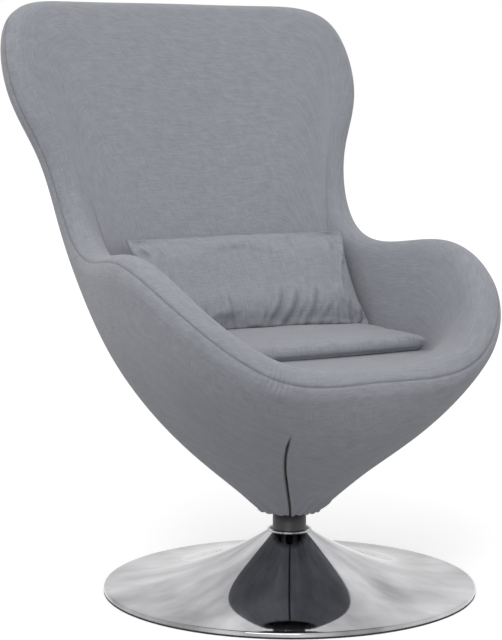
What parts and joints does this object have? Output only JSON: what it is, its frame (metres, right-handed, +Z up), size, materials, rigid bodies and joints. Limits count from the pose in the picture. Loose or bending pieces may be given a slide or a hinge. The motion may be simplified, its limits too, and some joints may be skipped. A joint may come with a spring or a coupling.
{
  "type": "swivel egg chair",
  "caption": "Swivel egg chair: winged bucket shell padded in pale grey-blue fabric, loose seat and lumbar cushions, column on a chromed trumpet foot.",
  "frame": {"origin": "On the floor on the swivel axis, at the centre of the foot.", "axes": "+Z up; the chair faces -Y; +X is the sitter's left."},
  "size_m": [0.671, 0.7589, 0.95],
  "materials": {
    "chromed_sheet": "polished chrome on spun steel",
    "black_rubber": "moulded black rubber",
    "zinc_steel": "zinc-plated steel",
    "black_enamel": "satin black enamel",
    "bearing_plastic": "natural acetal",
    "shell_laminate": "glass-fibre laminate",
    "padding": "open-cell foam",
    "cover_fabric": "heathered grey-blue plain weave"
  },
  "bodies": {
    "base": {"foot_trumpet": "chromed_sheet", "floor_pad": "black_rubber", "column_base": "black_enamel", "sleeve_bush": "bearing_plastic"},
    "shell": {"swivel_plate": "zinc_steel", "keeper_nut": "zinc_steel", "clamp_plate": "black_enamel", "plate_bolts": "zinc_steel", "moulded_shell": "shell_laminate", "moulded_foam": "padding", "outer_cover": "cover_fabric", "inner_cover": "cover_fabric"},
    "seat_cushion": {"seat_cushion_cover": "cover_fabric", "seat_cushion_filling": "padding"},
    "lumbar_cushion": {"lumbar_cushion_cover": "cover_fabric", "lumbar_cushion_filling": "padding"}
  },
  "joints": [
    {"name": "swivel", "type": "hinge", "parent": "base", "child": "shell", "pos_m": [0, 0, 0.17], "axis": [0, 0, 1], "continuous": true},
    {"name": "seat_cushion_lift", "type": "slide", "parent": "shell", "child": "seat_cushion", "axis": [0, -0.5, 0.866], "range_m": [0, 0.15]},
    {"name": "lumbar_lift", "type": "slide", "parent": "seat_cushion", "child": "lumbar_cushion", "axis": [0, -0.7071, 0.7071], "range_m": [0, 0.15]}
  ]
}
